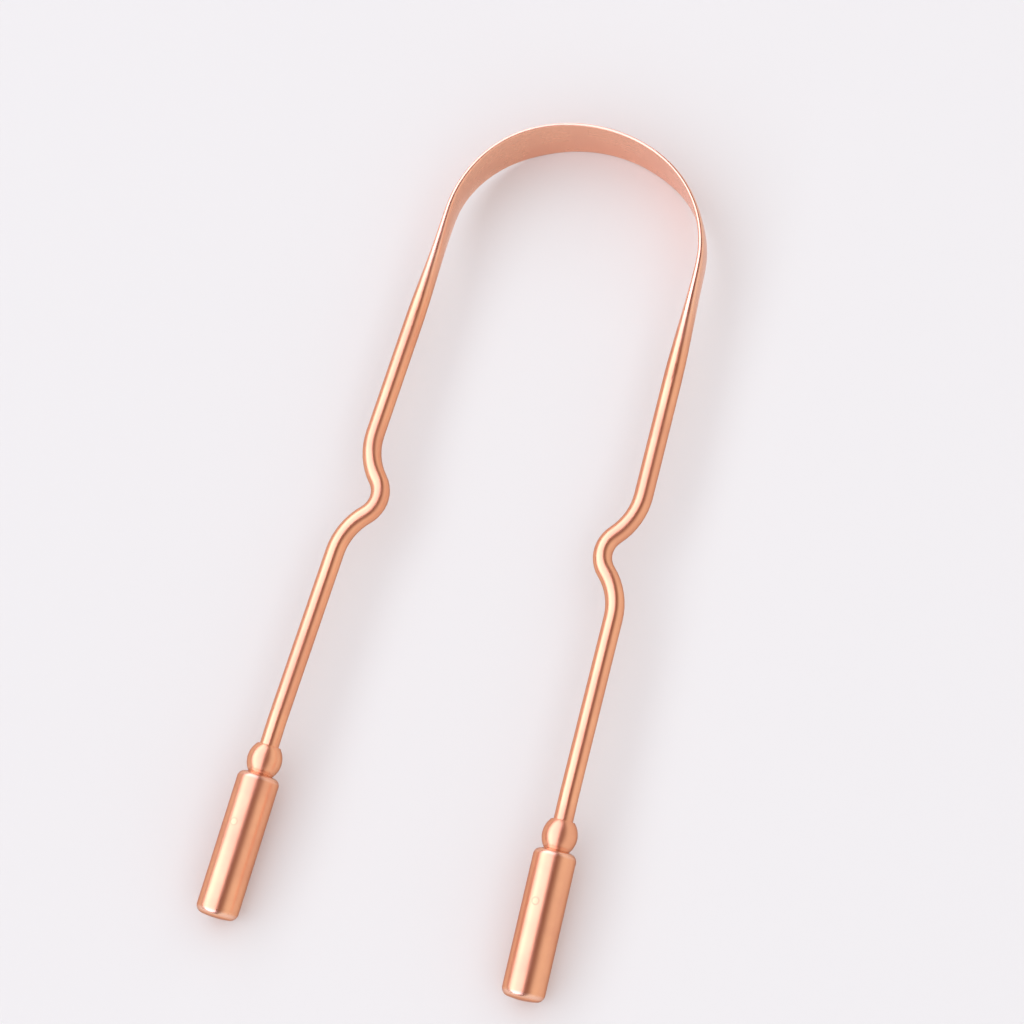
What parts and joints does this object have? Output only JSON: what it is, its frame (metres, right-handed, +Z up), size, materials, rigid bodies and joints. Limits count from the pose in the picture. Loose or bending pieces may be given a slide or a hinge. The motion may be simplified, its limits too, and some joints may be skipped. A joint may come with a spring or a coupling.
{
  "type": "tongue scraper",
  "caption": "U-shaped copper tongue scraper: a bent wire forged flat into a blade at its crown, with a finger notch in each arm and a turned, pinned grip on each end.",
  "frame": {"origin": "on the surface the tool lies on, below the middle of its outline; it rests on the blade's lower edge and on the ends of its barrels", "axes": "+Y from the grips to the blade, +X across the arms towards the right grip, +Z up"},
  "size_m": [0.0596, 0.1458, 0.0114],
  "materials": {
    "copper_wire": "satin-polished copper",
    "copper_grip": "turned and polished copper",
    "copper_pin": "copper, filed flush"
  },
  "bodies": {
    "root": {"scraper_bow": "copper_wire", "left_grip": "copper_grip", "right_grip": "copper_grip", "left_grip_pin": "copper_pin", "right_grip_pin": "copper_pin"}
  },
  "joints": []
}
